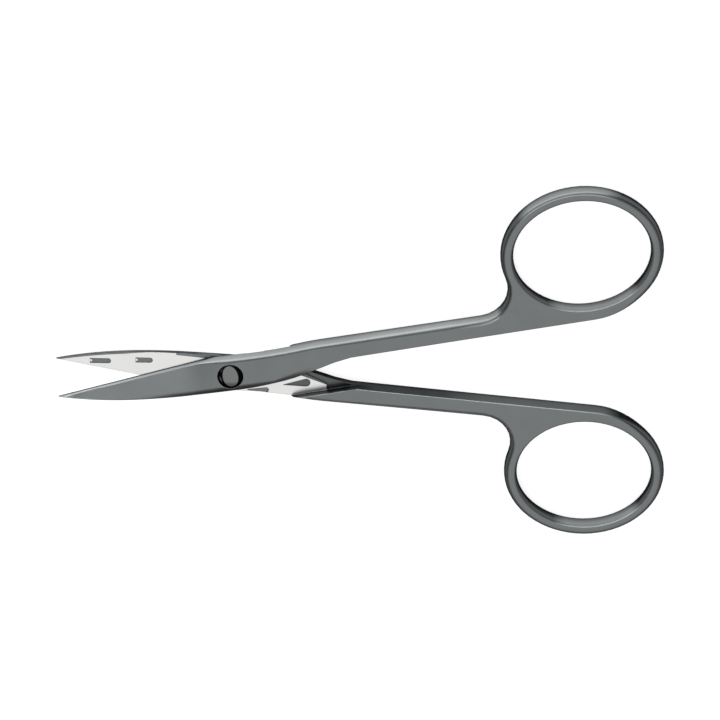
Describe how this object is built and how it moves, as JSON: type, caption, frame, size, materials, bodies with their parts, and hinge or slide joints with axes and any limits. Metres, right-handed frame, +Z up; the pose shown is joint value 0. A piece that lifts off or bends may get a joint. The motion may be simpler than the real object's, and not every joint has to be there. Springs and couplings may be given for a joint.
{
  "type": "iris scissors",
  "caption": "Small straight surgical scissors: two mirrored steel halves with pointed convex-backed blades, slim shanks and oval finger bows, turning on a flush joint screw.",
  "frame": {"origin": "on the joint axis, in the plane of the surface that the scissors lie on", "axes": "+X along the scissors from the blades to the finger bows, halfway between the two halves, +Z up out of the table along the joint axis"},
  "size_m": [0.1125, 0.071, 0.0037],
  "materials": {
    "satin_steel": "fine satin stainless steel, with bright ground cutting faces",
    "polished_steel": "polished stainless steel with a dark rim"
  },
  "bodies": {
    "rear": {"rear_half": "satin_steel", "joint_screw": "polished_steel"},
    "front": {"front_half": "satin_steel"}
  },
  "joints": [
    {"name": "scissor_pivot", "type": "hinge", "parent": "rear", "child": "front", "pos_m": [0, 0, 0.00185], "axis": [0, 0, 1], "range_deg": [-13.6, 76]}
  ]
}
